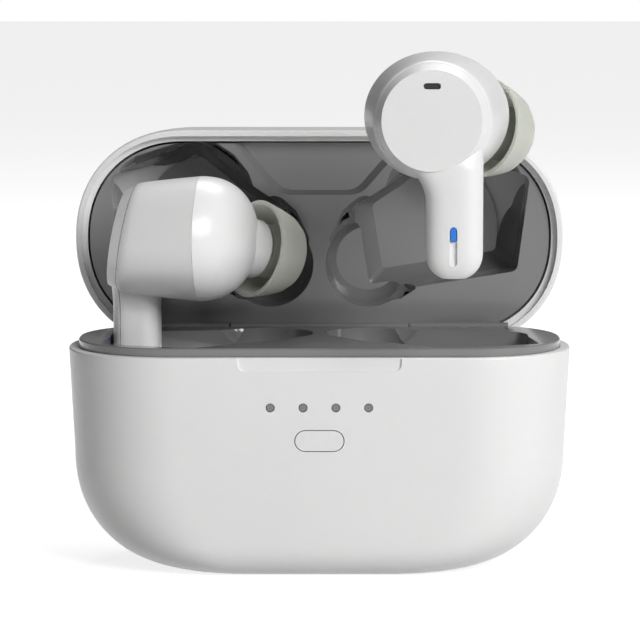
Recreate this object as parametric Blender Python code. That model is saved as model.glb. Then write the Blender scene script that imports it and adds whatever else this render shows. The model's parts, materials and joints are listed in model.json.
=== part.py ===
"""A wireless earbuds case with its two earbuds, lid open, as separate working pieces.

Lengths are in millimetres until make_object turns them into metres. +Z is up, -Y is the front,
and the origin is the centre of the flat face that the case stands on.
"""

import math

import bmesh
import bpy
from mathutils import Matrix, Vector

MM = 0.001
GAP = 0.3  # clearance between pieces that move or meet

# Case
HALF_WIDTH = 33.0
HALF_DEPTH = 14.6
LEDGE_Z = 28.8
LID_HEIGHT = 17.2
SQUARENESS = 2.18  # exponent of the superellipse that rounds the case's corners
FRONT_CORNER = 15.0  # rounding seen from the front
BASE_FOOT_CORNER = 4.5  # rounding of the foot seen from the side
LID_CROWN_CORNER = 8.5  # rounding of the lid's top seen from the side
DRAFT_X = 0.7
DRAFT_Y = 0.5
WALL = 1.3
FLOOR = 1.6
LIP = 1.15  # width of the ledge outside the tray
RIM_Z = LEDGE_Z + GAP
LID_TOP_Z = RIM_Z + LID_HEIGHT
CORNER_STEPS = 8
PLAN_STEPS = 10

# Hinge
HINGE_Y = 12.75
HINGE_Z = LEDGE_Z + GAP / 2
BARREL_R = 1.3
PIN_R = 0.6
KNUCKLE_X = 12.0
BARREL_X = 25.6
NOTCH_X = 25.9
NOTCH_DROP = 2.0
LID_OPEN = math.radians(90)

# Tray and liner
TRAY_INSET = LIP + 0.15
DECK_Z = LEDGE_Z + 1.1
DECK = 1.2
TRAY_REAR_Y = HINGE_Y - BARREL_R - 0.35
LINER_INSET = 1.8
LINER_Z = RIM_Z + 1.45
TUB_WALL = 0.8
CLOSING_ROOM = 0.4  # clearance the lid keeps to an earbud while it closes
CLOSING_SHARES = (0.34, 0.52, 0.68, 0.84, 1.0)  # how far the lid has closed at each tested step

# Earbud, in its own frame: face at Y 0 looking along -Y, nozzle turned towards +X, +Z up
FACE_R = 6.2
FACE_BEVEL = 0.8
BEVEL_DEPTH = 1.45
FACE_LEAN = math.tan(math.radians(10))
SEAM_Y = 11.0
DOME_END_Y = 18.2
HEAD_HALF_X = 8.95
HEAD_HALF_Z = 8.15
DOME_SHIFT_X = 2.2
SHELL = 1.1
STEM_X = 2.75
STEM_Y = 2.05
STEM_HALF_X = 3.55
STEM_HALF_Y = 3.05
STEM_BOTTOM_Z = -19.5
STEM_ROUND = 3.4
SPLIT = 1.3  # thickness of the face cover
NOZZLE_TURN = math.radians(42)
NOZZLE_DROP = math.radians(12)
TIP_R = 6.5
TIP_START = 8.6
TIP_END = 14.5
TIP_TRAVEL = 6.0

# Places of the earbuds
SEAT_X = 26.4
SEAT_Y = -1.8
SEAT_Z = LEDGE_Z + 5.0
SEAT_TURN = math.radians(96)
LEFT_LIFT = 9.3
FLOAT_AT = (13.8, -27.3, LEDGE_Z + 31.0)
FLOAT_TURN = math.radians(-4)
STEM_OUT = SEAT_X - STEM_Y * math.cos(math.radians(6)) - 0.28
STEM_BACK = 0.72

# Front of the case
LED_XS = (-6.3, -2.1, 2.1, 6.3)
LED_R = 0.475
LED_Z = LEDGE_Z - 6.4
BUTTON_Z = LEDGE_Z - 10.7
BUTTON_HALF_X = 3.1
BUTTON_HALF_Z = 1.3
THUMB_HALF_X = 10.5
THUMB_HEIGHT = 1.65
THUMB_DEPTH = 0.3
USB_Z = 11.0


def bulge(t):
    """How far a unit superellipse reaches sideways at height t."""
    return max(0.0, 1.0 - min(abs(t), 1.0) ** SQUARENESS) ** (1.0 / SQUARENESS)


def plan(half_x, half_y, z, steps=PLAN_STEPS):
    """The case's outline at height z: straight front and back, rounded ends."""
    power = 2.0 / SQUARENESS
    points = []
    for end in (1, -1):
        for step in range(steps + 1):
            angle = math.pi * (step / steps - 0.5)
            out = max(math.cos(angle), 0.0) ** power
            along = math.copysign(abs(math.sin(angle)) ** power, math.sin(angle))
            points.append((end * (half_x - half_y * (1.0 - out)), end * half_y * along, z))
    return points


def rounded(corners, z, steps=3, scale=1.0, about=(0.0, 0.0)):
    """An outline through (x, y, radius) corners, each one rounded by a curve."""
    points = []
    count = len(corners)
    for index, (x, y, radius) in enumerate(corners):
        here = Vector((x, y))
        before = (Vector(corners[index - 1][:2]) - here).normalized()
        after = (Vector(corners[(index + 1) % count][:2]) - here).normalized()
        half_turn = before.angle(after) / 2
        reach = radius / math.tan(half_turn)
        for step in range(steps + 1):
            t = step / steps
            curve = here + before * reach * (1 - t) ** 2 + after * reach * t ** 2
            points.append((about[0] + (curve.x - about[0]) * scale,
                           about[1] + (curve.y - about[1]) * scale, z))
    return points


def oval(half_x, half_y, z, steps=24, power=2.0, centre=(0.0, 0.0)):
    """A superellipse at height z."""
    points = []
    for step in range(steps):
        angle = 2 * math.pi * step / steps
        x = math.copysign(abs(math.cos(angle)) ** (2 / power), math.cos(angle))
        y = math.copysign(abs(math.sin(angle)) ** (2 / power), math.sin(angle))
        points.append((centre[0] + half_x * x, centre[1] + half_y * y, z))
    return points


def loft(rings, closed=False):
    """Skins rings that have the same number of points. Open ends are capped."""
    mesh = bmesh.new()
    rows = [[mesh.verts.new(point) for point in ring] for ring in rings]
    count = len(rows[0])
    pairs = list(zip(rows, rows[1:]))
    if closed:
        pairs.append((rows[-1], rows[0]))
    for low, high in pairs:
        for index in range(count):
            after = (index + 1) % count
            mesh.faces.new((low[index], low[after], high[after], high[index]))
    if not closed:
        mesh.faces.new(rows[0])
        mesh.faces.new(rows[-1])
    bmesh.ops.recalc_face_normals(mesh, faces=mesh.faces)
    if mesh.calc_volume(signed=True) < 0:
        bmesh.ops.reverse_faces(mesh, faces=mesh.faces)
    return mesh


def turned(profile, steps=24, closed=False):
    """A body of (radius, z) points turned about Z."""
    return loft([oval(radius, radius, z, steps) for radius, z in profile], closed)


def block(low, high, bevel=0.0):
    """A box between two corners, with its edges bevelled."""
    mesh = bmesh.new()
    bmesh.ops.create_cube(mesh, size=1.0)
    for vert in mesh.verts:
        vert.co = Vector([low[i] + (vert.co[i] + 0.5) * (high[i] - low[i]) for i in range(3)])
    if bevel:
        bmesh.ops.bevel(mesh, geom=mesh.edges, offset=bevel, segments=2, profile=0.5, affect="EDGES")
    return mesh


def moved(mesh, matrix):
    bmesh.ops.transform(mesh, matrix=matrix, verts=mesh.verts)
    return mesh


def lying(mesh, x, y, z, axis):
    """Turns a mesh made along Z to run along another axis, and moves it."""
    turns = {
        "X": Matrix.Rotation(math.pi / 2, 4, "Y"),
        "Y": Matrix.Rotation(-math.pi / 2, 4, "X"),
        "Z": Matrix.Identity(4),
    }
    return moved(mesh, Matrix.Translation((x, y, z)) @ turns[axis])


def rod(radius, start, end, axis, steps=20, across=(0.0, 0.0)):
    """A cylinder along an axis from start to end."""
    mesh = turned([(radius, 0.0), (radius, end - start)], steps)
    places = {"X": (start, *across), "Y": (across[0], start, across[1]), "Z": (*across, start)}
    return lying(mesh, *places[axis], axis)


def helper(mesh):
    """A mesh in millimetres as a hidden object that a Boolean can use."""
    data = bpy.data.meshes.new("helper")
    mesh.to_mesh(data)
    mesh.free()
    thing = bpy.data.objects.new("helper", data)
    bpy.context.scene.collection.objects.link(thing)
    thing.hide_render = True
    thing.display_type = "WIRE"
    return thing


def combine(mesh, others, operation="DIFFERENCE"):
    """Cuts, joins or intersects a mesh with others, and returns the result."""
    body = helper(mesh)
    for other in others:
        tool = helper(other)
        modifier = body.modifiers.new("Boolean", "BOOLEAN")
        modifier.operation = operation
        modifier.solver = "EXACT"
        modifier.object = tool
        graph = bpy.context.evaluated_depsgraph_get()
        data = bpy.data.meshes.new_from_object(body.evaluated_get(graph))
        body.modifiers.clear()
        body.data = data
        bpy.data.objects.remove(tool)
    result = bmesh.new()
    result.from_mesh(body.data)
    bpy.data.objects.remove(body)
    bmesh.ops.remove_doubles(result, verts=result.verts, dist=0.002)
    bmesh.ops.dissolve_degenerate(result, edges=result.edges, dist=0.002)
    return result


def material(name, colour, roughness, metallic=0.0):
    """One plain material, made once and shared."""
    made = bpy.data.materials.get(name)
    if made:
        return made
    made = bpy.data.materials.new(name)
    made.use_nodes = True
    shader = made.node_tree.nodes["Principled BSDF"]
    shader.inputs["Base Color"].default_value = (*colour, 1.0)
    shader.inputs["Roughness"].default_value = roughness
    shader.inputs["Metallic"].default_value = metallic
    return made


def white():
    return material("white_satin_plastic", (0.83, 0.83, 0.82), 0.38)


def grey():
    return material("grey_gloss_plastic", (0.09, 0.09, 0.09), 0.18)


def dark():
    return material("dark_plastic", (0.04, 0.04, 0.045), 0.5)


def steel():
    return material("steel", (0.6, 0.6, 0.6), 0.3, 1.0)


def gold():
    return material("gold_plate", (0.8, 0.62, 0.3), 0.25, 1.0)


def board():
    return material("green_board", (0.02, 0.16, 0.07), 0.45)


def foil():
    return material("cell_foil", (0.5, 0.5, 0.52), 0.4, 1.0)


def silicone():
    return material("silicone", (0.62, 0.63, 0.58), 0.45)


def light_pipe():
    return material("light_pipe", (0.25, 0.25, 0.25), 0.3)


def blue_light():
    return material("blue_light", (0.02, 0.16, 0.75), 0.3)


def make_object(name, mesh, finish, parent=None):
    """Turns a mesh in millimetres, in its parent's frame, into a named object in metres."""
    bmesh.ops.scale(mesh, vec=(MM, MM, MM), verts=mesh.verts)
    bmesh.ops.recalc_face_normals(mesh, faces=mesh.faces)
    data = bpy.data.meshes.new(name)
    mesh.to_mesh(data)
    mesh.free()
    data.materials.append(finish)
    data.shade_smooth()
    data.set_sharp_from_angle(angle=math.radians(32))
    thing = bpy.data.objects.new(name, data)
    bpy.context.scene.collection.objects.link(thing)
    thing.parent = parent
    return thing


def empty(name, place, turn=(0.0, 0.0, 0.0), parent=None):
    """A frame that pieces are parented to, placed in millimetres."""
    thing = bpy.data.objects.new(name, None)
    bpy.context.scene.collection.objects.link(thing)
    thing.location = Vector(place) * MM
    thing.rotation_euler = turn
    thing.parent = parent
    return thing


# ---------------------------------------------------------------- case shells


def base_halves(z):
    """Half width and half depth of the base's outside at height z."""
    up = min(z / FRONT_CORNER, 1.0)
    half_x = HALF_WIDTH - DRAFT_X - FRONT_CORNER * (1.0 - bulge(1.0 - up))
    half_x += DRAFT_X * max(0.0, (z - FRONT_CORNER) / (LEDGE_Z - FRONT_CORNER))
    up = min(z / BASE_FOOT_CORNER, 1.0)
    half_y = HALF_DEPTH - DRAFT_Y - BASE_FOOT_CORNER * (1.0 - bulge(1.0 - up))
    half_y += DRAFT_Y * max(0.0, (z - BASE_FOOT_CORNER) / (LEDGE_Z - BASE_FOOT_CORNER))
    return half_x, half_y


def lid_halves(z):
    """Half width and half depth of the closed lid's outside at height z."""
    down = LID_TOP_Z - z
    up = min(down / FRONT_CORNER, 1.0)
    half_x = HALF_WIDTH - FRONT_CORNER * (1.0 - bulge(1.0 - up))
    up = min(down / LID_CROWN_CORNER, 1.0)
    half_y = HALF_DEPTH - LID_CROWN_CORNER * (1.0 - bulge(1.0 - up))
    return half_x, half_y


def corner_heights(total, steps=CORNER_STEPS):
    """Heights that space points evenly round the big corner, then up the straight wall."""
    power = 2.0 / SQUARENESS
    heights = []
    for step in range(steps + 1):
        angle = 0.5 * math.pi * step / steps
        heights.append(FRONT_CORNER * (1.0 - math.cos(angle) ** power))
    if total > FRONT_CORNER + 1.0:
        heights.append(total)
    return heights


def base_ring(z, inset, lift=0.0):
    half_x, half_y = base_halves(z)
    return plan(half_x - inset, half_y - inset, z + lift)


def lid_ring(z, inset, drop=0.0):
    half_x, half_y = lid_halves(z)
    return plan(half_x - inset, half_y - inset, z - drop)


def base_volume(inset, floor, top):
    """The solid inside the base's walls, from the floor up to a height."""
    heights = [z for z in corner_heights(LEDGE_Z) if z + floor < top - 0.5]
    rings = [base_ring(z, inset, floor) for z in heights]
    half_x, half_y = base_halves(LEDGE_Z)
    rings.append(plan(half_x - inset, half_y - inset, top))
    return loft(rings)


def lid_volume(inset, ceiling, bottom):
    """The solid inside the lid's walls, from a height up to the ceiling."""
    drops = [drop for drop in corner_heights(FRONT_CORNER) if LID_TOP_Z - drop - ceiling > bottom + 0.3]
    rings = [lid_ring(LID_TOP_Z - drop, inset, ceiling) for drop in drops]
    rings.append(lid_ring(RIM_Z, inset, RIM_Z - bottom))
    return loft(rings)


def pill_ring(half_x, half_z, x, z, upright=False, steps=6):
    """A slot outline in the XZ plane, lying or upright."""
    ring = []
    for end in (1, -1):
        for step in range(steps + 1):
            angle = math.pi * (step / steps - 0.5)
            along = end * (half_x - half_z + half_z * math.cos(angle))
            across = end * half_z * math.sin(angle)
            ring.append((x + across, z + along) if upright else (x + along, z + across))
    return ring


def pill(half_x, half_z, y_from, y_to, x=0.0, z=0.0, upright=False):
    """A flat slot shape with round ends, along Y."""
    ring = pill_ring(half_x, half_z, x, z, upright)
    return loft([[(px, y, pz) for px, pz in ring] for y in (y_from, y_to)])


def make_base_shell():
    edge = 0.25
    rings = [base_ring(z, 0.0) for z in corner_heights(LEDGE_Z)[:-1]]
    rings.append(base_ring(LEDGE_Z - edge, 0.0))
    rings.append(base_ring(LEDGE_Z, edge))
    shell = loft(rings)
    cavity = base_volume(LIP, FLOOR, LEDGE_Z + 3.0)
    thumb = thumb_notch()
    wall_y = HALF_DEPTH - 4.0
    drills = [rod(LED_R + 0.1, -HALF_DEPTH - 1, -wall_y, "Y", 16, (x, LED_Z)) for x in LED_XS]
    button = pill(BUTTON_HALF_X + 0.12, BUTTON_HALF_Z + 0.12, -HALF_DEPTH - 1, -wall_y, 0.0, BUTTON_Z)
    port = pill(4.75, 1.9, wall_y, HALF_DEPTH + 1, 0.0, USB_Z)
    notch = block((-NOTCH_X, TRAY_REAR_Y, HINGE_Z - NOTCH_DROP), (NOTCH_X, HALF_DEPTH + 2, LEDGE_Z + 2))
    return combine(shell, [cavity, thumb, button, port, notch] + drills)


def thumb_notch():
    """The shallow step under the ledge that a thumb opens the lid by."""
    corners = [
        (-THUMB_HALF_X, 2.0, 0.1),
        (-THUMB_HALF_X, -THUMB_HEIGHT, 1.0),
        (THUMB_HALF_X, -THUMB_HEIGHT, 1.0),
        (THUMB_HALF_X, 2.0, 0.1),
    ]
    outline = rounded(corners, 0.0)
    depths = (-HALF_DEPTH - 1.0, -HALF_DEPTH + THUMB_DEPTH)
    return loft([[(px, y, LEDGE_Z + py) for px, py, _ in outline] for y in depths])


def tray_knuckles():
    """The two outer knuckles of the hinge, each on a web behind the tray's deck."""
    tools = []
    for side in (-1, 1):
        low, high = sorted((side * (KNUCKLE_X + GAP), side * BARREL_X))
        barrel = rod(BARREL_R, low, high, "X", 20, (HINGE_Y, HINGE_Z))
        web = block((low, TRAY_REAR_Y - 0.8, HINGE_Z - BARREL_R), (high, HINGE_Y - 0.2, LEDGE_Z))
        blind = 0.8
        start = low + (blind if side < 0 else -1.0)
        end = high + (1.0 if side < 0 else -blind)
        bore = rod(PIN_R + 0.15, start, end, "X", 16, (HINGE_Y, HINGE_Z))
        tools.append(combine(combine(barrel, [web], "UNION"), [bore]))
    return tools


def liner_knuckle():
    """The middle knuckle of the hinge, on a web below the liner's plate."""
    barrel = rod(BARREL_R, -KNUCKLE_X, KNUCKLE_X, "X", 20, (HINGE_Y, HINGE_Z))
    web = block((-KNUCKLE_X, HINGE_Y - 1.1, HINGE_Z), (KNUCKLE_X, HINGE_Y, LINER_Z + 1.5))
    bore = rod(PIN_R + 0.15, -KNUCKLE_X - 1, KNUCKLE_X + 1, "X", 16, (HINGE_Y, HINGE_Z))
    return combine(combine(barrel, [web], "UNION"), [bore])


def from_hinge(mesh):
    """Moves a mesh made for the closed lid into the frame of the lid's hinge."""
    return moved(mesh, Matrix.Translation((0, -HINGE_Y, -HINGE_Z)))


def make_lid_shell():
    edge = 0.2
    flat = 0.75
    rabbet = 1.25
    flange = 1.5
    rings = [lid_ring(LID_TOP_Z - drop, 0.0) for drop in corner_heights(FRONT_CORNER)]
    rings.append(lid_ring(RIM_Z + edge, 0.0))
    rings.append(lid_ring(RIM_Z, edge))
    shell = loft(rings)
    step = loft([lid_ring(RIM_Z, flat, 1.0), lid_ring(RIM_Z, flat), lid_ring(RIM_Z + rabbet, flat)])
    cavity = lid_volume(flange, WALL, RIM_Z - 1.0)
    socket = rod(BARREL_R + 0.2, -NOTCH_X, NOTCH_X, "X", 20, (HINGE_Y, HINGE_Z))
    return combine(shell, [step, cavity, socket])


# ---------------------------------------------------------------- tray and liner


def head_corners(side, grow=0.0):
    """Corners of the pocket that an earbud's head lies in, seen from above."""
    corners = [
        (28.6 + grow, -8.2 - grow, 1.3),
        (16.6, -13.1 - grow, 2.6),
        (9.6 - grow, -7.4 - grow, 3.2),
        (4.3 - grow, -3.9 - grow, 1.2),
        (6.2, 7.9 + grow, 1.0),
        (26.9 + grow, 4.6 + grow, 1.2),
    ]
    return [(side * x, y, radius) for x, y, radius in corners]


TIP_POCKET = (6.7, 3.6)
TIP_POCKET_R = 5.9


def pocket_tools(side, mouth_z, floor_z, tip_floor_z, grow=0.0):
    """The head pocket and the round ear tip pocket as two tapering solids."""
    about = (side * 17.0, -2.5)
    depth = floor_z - mouth_z
    head = [
        rounded(head_corners(side, grow), mouth_z - 0.25 * math.copysign(1, depth) * 2, 3, 1.0, about)
    ]
    for share, scale in ((0.5, 0.98), (0.85, 0.88), (1.0, 0.76)):
        head.append(rounded(head_corners(side, grow), mouth_z + depth * share, 3, scale, about))
    centre = (side * TIP_POCKET[0], TIP_POCKET[1])
    tip_depth = tip_floor_z - mouth_z
    radius = TIP_POCKET_R + grow
    tip = [oval(radius, radius, mouth_z - 0.25 * math.copysign(1, depth) * 2, 24, 2.0, centre)]
    for share, scale in ((0.6, 0.97), (0.88, 0.87), (1.0, 0.74)):
        tip.append(oval(radius * scale, radius * scale, mouth_z + tip_depth * share, 24, 2.0, centre))
    return [loft(head), loft(tip)]


def stem_well(side, grow=0.0, top=DECK_Z + 1.0):
    """The deep slot that the stem stands in."""
    half_x = STEM_HALF_Y + 0.45 + grow
    half_y = STEM_HALF_X + 0.45 + grow
    floor = SEAT_Z + STEM_BOTTOM_Z - 0.5 - grow
    centre = (side * STEM_OUT, STEM_BACK)
    rings = [oval(half_x - 0.6, half_y - 0.6, floor, 24, 3.0, centre)]
    rings.append(oval(half_x, half_y, floor + 1.5, 24, 3.0, centre))
    rings.append(oval(half_x, half_y, top, 24, 3.0, centre))
    return loft(rings)


HEAD_FLOOR_Z = SEAT_Z - HEAD_HALF_Z - 0.6
TIP_Z = SEAT_Z - 11.5 * math.sin(NOZZLE_DROP)
TIP_FLOOR_Z = TIP_Z - TIP_R - 0.5
HEAD_ROOF_Z = SEAT_Z + HEAD_HALF_Z + 0.5
TIP_ROOF_Z = TIP_Z + TIP_R + 0.5
PIN_OFFSET = 1.2
CONTACT_Y = 2.5
PIN_HOLE_R = 0.65


def seat_matrix(side, lift=0.0):
    """Where an earbud's frame is when it sits in the case, in millimetres."""
    place = Matrix.Translation((side * SEAT_X, SEAT_Y, SEAT_Z + lift))
    return place @ Matrix.Rotation(side * SEAT_TURN, 4, "Z")


def contact_places(side):
    """The two charging contacts of a seated earbud, seen from above."""
    places = []
    for shift in (-PIN_OFFSET, PIN_OFFSET):
        point = seat_matrix(side) @ Vector((side * (STEM_X + shift), CONTACT_Y, STEM_BOTTOM_Z))
        places.append((point.x, point.y))
    return places


def bud_envelope():
    """Points of one earbud with its tip, grown by the clearance it needs, in the earbud's own frame."""
    head = [point for depth in (0.0, BEVEL_DEPTH, 6.0, SEAM_Y, 13.4, 15.4, 17.0, DOME_END_Y - 0.1)
            for point in head_ring(depth, -CLOSING_ROOM, 18)]
    rim = TIP_R + CLOSING_ROOM
    tip = []
    for radius, z in ((rim, TIP_START - 0.3), (rim - 0.2, 10.6), (5.0, 13.9), (3.4, TIP_END + 0.35)):
        tip += [nozzle_matrix() @ Vector(point) for point in oval(radius, radius, z, 16)]
    return head, tip


def hull(points):
    """The convex solid round a set of points."""
    mesh = bmesh.new()
    for point in points:
        mesh.verts.new(point)
    made = bmesh.ops.convex_hull(mesh, input=mesh.verts)
    bmesh.ops.delete(mesh, geom=made["geom_interior"], context="VERTS")
    return mesh


def entry_tools(side):
    """The space that an earbud needs to drop straight into the tray."""
    tools = []
    for points in bud_envelope():
        poses = [seat_matrix(side, lift) for lift in (0.0, LEFT_LIFT)]
        tools.append(hull([pose @ Vector((side * x, y, z)) for pose in poses for x, y, z in points]))
    return tools


def make_base_tray():
    deck = loft([
        base_ring(LEDGE_Z, TRAY_INSET, DECK_Z - DECK - LEDGE_Z),
        base_ring(LEDGE_Z, TRAY_INSET, DECK_Z - 0.15 - LEDGE_Z),
        base_ring(LEDGE_Z, TRAY_INSET + 0.15, DECK_Z - LEDGE_Z),
    ])
    limits = base_volume(LIP + 0.3, FLOOR + 0.4, DECK_Z - 0.2)
    tubs = []
    hollows = []
    for side in (-1, 1):
        tub = pocket_tools(side, DECK_Z - 0.3, HEAD_FLOOR_Z - TUB_WALL, TIP_FLOOR_Z - TUB_WALL, TUB_WALL)
        tubs += tub + [stem_well(side, TUB_WALL, DECK_Z - 0.4)]
        hollows += pocket_tools(side, DECK_Z, HEAD_FLOOR_Z, TIP_FLOOR_Z) + entry_tools(side)
        hollows.append(stem_well(side))
        hollows += [rod(PIN_HOLE_R, 9.0, 16.0, "Z", 12, place) for place in contact_places(side)]
        hollows.append(loft([oval(0.85, 0.55, z, 16, 2.0, (side * 19.8, 9.6)) for z in (DECK_Z - 0.35, DECK_Z + 1)]))
    rear = block((-NOTCH_X, TRAY_REAR_Y, 20.0), (NOTCH_X, 20.0, 40.0))
    walls = combine(tubs[0], tubs[1:], "UNION")
    walls = combine(walls, [limits], "INTERSECT")
    tray = combine(combine(deck, [walls], "UNION"), hollows + [rear])
    return combine(tray, tray_knuckles(), "UNION")


def recess_tool():
    """The shallow dished panel in the middle of the liner's front."""
    about = (0.0, -10.5)
    corners = [(-12.4, -13.6, 0.6), (12.4, -13.6, 0.6), (5.6, -5.8, 3.4), (-5.6, -5.8, 3.4)]
    rings = [rounded(corners, z, 5, scale, about)
             for z, scale in ((LINER_Z - 1.0, 1.04), (LINER_Z, 1.0), (LINER_Z + 1.4, 0.88))]
    return loft(rings)


def closing_tools(side):
    """The space that a seated earbud sweeps in the lid while the lid comes down over it."""
    hinge = Matrix.Translation((0.0, HINGE_Y, HINGE_Z))
    tools = []
    for points in bud_envelope():
        poses = []
        for share in CLOSING_SHARES:
            turn = hinge @ Matrix.Rotation(LID_OPEN * (1.0 - share), 4, "X") @ hinge.inverted()
            pose = turn @ seat_matrix(side, LEFT_LIFT * (1.0 - share))
            poses.append([pose @ Vector((side * x, y, z)) for x, y, z in points])
        tools += [hull(early + late) for early, late in zip(poses, poses[1:])]
    return tools


def make_lid_liner():
    plate = loft([
        lid_ring(RIM_Z, LINER_INSET, RIM_Z - LINER_Z),
        lid_ring(RIM_Z, LINER_INSET, RIM_Z - LINER_Z - 2.1),
    ])
    limits = lid_volume(LINER_INSET, WALL + 0.3, LINER_Z)
    tubs = []
    hollows = [recess_tool()]
    for side in (-1, 1):
        tubs += pocket_tools(side, LINER_Z + 0.3, HEAD_ROOF_Z + TUB_WALL, TIP_ROOF_Z + TUB_WALL, TUB_WALL)
        hollows += pocket_tools(side, LINER_Z, HEAD_ROOF_Z, TIP_ROOF_Z) + closing_tools(side)
    walls = combine(tubs[0], tubs[1:], "UNION")
    liner = combine(plate, [walls], "UNION")
    liner = combine(liner, [limits], "INTERSECT")
    hinge_room = rod(BARREL_R + 0.5, -NOTCH_X - 1, NOTCH_X + 1, "X", 20, (HINGE_Y, HINGE_Z))
    liner = combine(liner, hollows + [hinge_room])
    return combine(liner, [liner_knuckle()], "UNION")


# ---------------------------------------------------------------- inside the case


def make_usb_shell():
    rear = base_halves(USB_Z)[1] - 0.25
    front = 7.4
    rings = []
    for half_x, half_z, y in ((4.5, 1.65, front), (4.5, 1.65, rear), (4.15, 1.3, rear), (4.15, 1.3, front + 0.8)):
        rings.append([(px, y, pz) for px, pz in pill_ring(half_x, half_z, 0.0, USB_Z)])
    return loft(rings)


def make_light_guide():
    bar = block((-8.0, -12.6, LED_Z - 0.9), (8.0, -11.4, LED_Z + 0.9), 0.2)
    tip_y = -base_halves(LED_Z)[1] + 0.08
    prongs = [rod(LED_R, tip_y, -12.0, "Y", 16, (x, LED_Z)) for x in LED_XS]
    return combine(bar, prongs, "UNION")


def make_mode_button():
    """The button's cap and the wider flange that keeps it in the case."""
    front = -base_halves(BUTTON_Z)[1]
    cap = pill(BUTTON_HALF_X, BUTTON_HALF_Z, front, -11.9, 0.0, BUTTON_Z)
    flange = pill(BUTTON_HALF_X + 0.7, BUTTON_HALF_Z + 0.7, -12.7, -11.9, 0.0, BUTTON_Z)
    return combine(cap, [flange], "UNION")


def make_pogo_block(side):
    places = contact_places(side)
    middle = (sum(x for x, _ in places) / 2, sum(y for _, y in places) / 2)
    low = (middle[0] - 2.2, middle[1] - 3.0, 8.0)
    high = (middle[0] + 2.2, middle[1] + 3.0, WELL_FLOOR_Z - TUB_WALL - GAP)
    bores = [rod(PIN_HOLE_R, 8.9, 20.0, "Z", 12, place) for place in places]
    return combine(block(low, high, 0.3), bores)


WELL_FLOOR_Z = SEAT_Z + STEM_BOTTOM_Z - 0.5
PIN_R_CONTACT = 0.42
PIN_TIP_Z = SEAT_Z + STEM_BOTTOM_Z - 0.15


def add_case(root):
    make_object("base_shell", make_base_shell(), white(), root)
    make_object("base_tray", make_base_tray(), grey(), root)
    pin = rod(PIN_R, -BARREL_X + 1.1, BARREL_X - 1.1, "X", 16, (HINGE_Y, HINGE_Z))
    make_object("hinge_pin", pin, steel(), root)
    make_object("led_light_guide", make_light_guide(), light_pipe(), root)
    make_object("main_board", block((-15.0, -10.2, 9.5), (15.0, -9.2, 23.8), 0.1), board(), root)
    switch = block((-1.6, -11.2, BUTTON_Z - 1.2), (1.6, -10.5, BUTTON_Z + 1.2), 0.1)
    make_object("button_switch", switch, steel(), root)
    make_object("case_battery", block((-16.5, -7.5, 3.2), (16.5, 4.6, 21.5), 1.2), foil(), root)
    make_object("usb_c_shell", make_usb_shell(), steel(), root)
    tongue = block((-3.3, 8.6, USB_Z - 0.35), (3.3, 12.8, USB_Z + 0.35), 0.1)
    make_object("usb_c_tongue", tongue, dark(), root)
    make_object("charging_board", block((-10.0, 5.6, 7.9), (10.0, 12.0, 8.9), 0.1), board(), root)
    for side, word in ((-1, "left"), (1, "right")):
        make_object(word + "_pogo_block", make_pogo_block(side), dark(), root)
        magnet = block((side * 4.6 - 1.6, -12.0, 25.0), (side * 4.6 + 1.6, -10.0, 28.2), 0.15)
        make_object(word + "_base_magnet", magnet, steel(), root)


def add_lid(hinge):
    make_object("lid_shell", from_hinge(make_lid_shell()), white(), hinge)
    make_object("lid_liner", from_hinge(make_lid_liner()), grey(), hinge)
    for side, word in ((-1, "left"), (1, "right")):
        magnet = block((side * 4.6 - 1.6, -12.0, 33.0), (side * 4.6 + 1.6, -10.0, 35.4), 0.15)
        make_object(word + "_lid_magnet", from_hinge(magnet), steel(), hinge)


def add_moving_small_pieces(root):
    front = -base_halves(BUTTON_Z)[1]
    press = empty("button_travel", (0.0, front, BUTTON_Z), parent=root)
    button = moved(make_mode_button(), Matrix.Translation((0.0, -front, -BUTTON_Z)))
    make_object("mode_button", button, white(), press)
    for side, word in ((-1, "left"), (1, "right")):
        for place, end in zip(contact_places(side), ("rear", "front")):
            travel = empty(word + "_" + end + "_pin_travel", (*place, PIN_TIP_Z), parent=root)
            pin = turned([(PIN_R_CONTACT, 9.6 - PIN_TIP_Z), (PIN_R_CONTACT, -0.2), (0.25, 0.0)], 12)
            make_object(word + "_" + end + "_pogo_pin", pin, gold(), travel)


# ---------------------------------------------------------------- earbud


def head_halves(depth):
    """Half width, half height and sideways shift of the head's section at a depth."""
    if depth <= BEVEL_DEPTH:
        half = FACE_R + FACE_BEVEL * depth / BEVEL_DEPTH
        return half, half, 0.0
    start = FACE_R + FACE_BEVEL + 0.15
    share = min((depth - BEVEL_DEPTH) / (SEAM_Y - BEVEL_DEPTH), 1.0) ** 0.8
    half_x = start + (HEAD_HALF_X - start) * share
    half_z = start + (HEAD_HALF_Z - start) * share
    into_dome = max(0.0, (depth - SEAM_Y) / (DOME_END_Y - SEAM_Y))
    shrink = bulge(into_dome)
    return half_x * shrink, half_z * shrink, DOME_SHIFT_X * into_dome


def head_ring(depth, inset=0.0, steps=26):
    half_x, half_z, shift = head_halves(depth)
    lean = FACE_LEAN * max(0.0, 1.0 - depth / SEAM_Y)
    ring = []
    for step in range(steps):
        angle = 2 * math.pi * step / steps
        z = (half_z - inset) * math.sin(angle)
        ring.append((shift + (half_x - inset) * math.cos(angle), depth + z * lean, z))
    return ring


CREASE_Z = -1.0 / FACE_LEAN


def stem_ring(z):
    """A section of the stem, which leans back with the face above the crease."""
    up = min((z - STEM_BOTTOM_Z + 0.25) / STEM_ROUND, 1.0)
    shrink_x = STEM_ROUND * (1.0 - bulge(1.0 - up))
    shrink_y = 0.55 * shrink_x
    back = max(0.0, (z - CREASE_Z) * FACE_LEAN) + 0.03
    return oval(STEM_HALF_X - shrink_x, STEM_HALF_Y - shrink_y, z, 24, 3.0, (STEM_X, STEM_Y + back))


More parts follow.
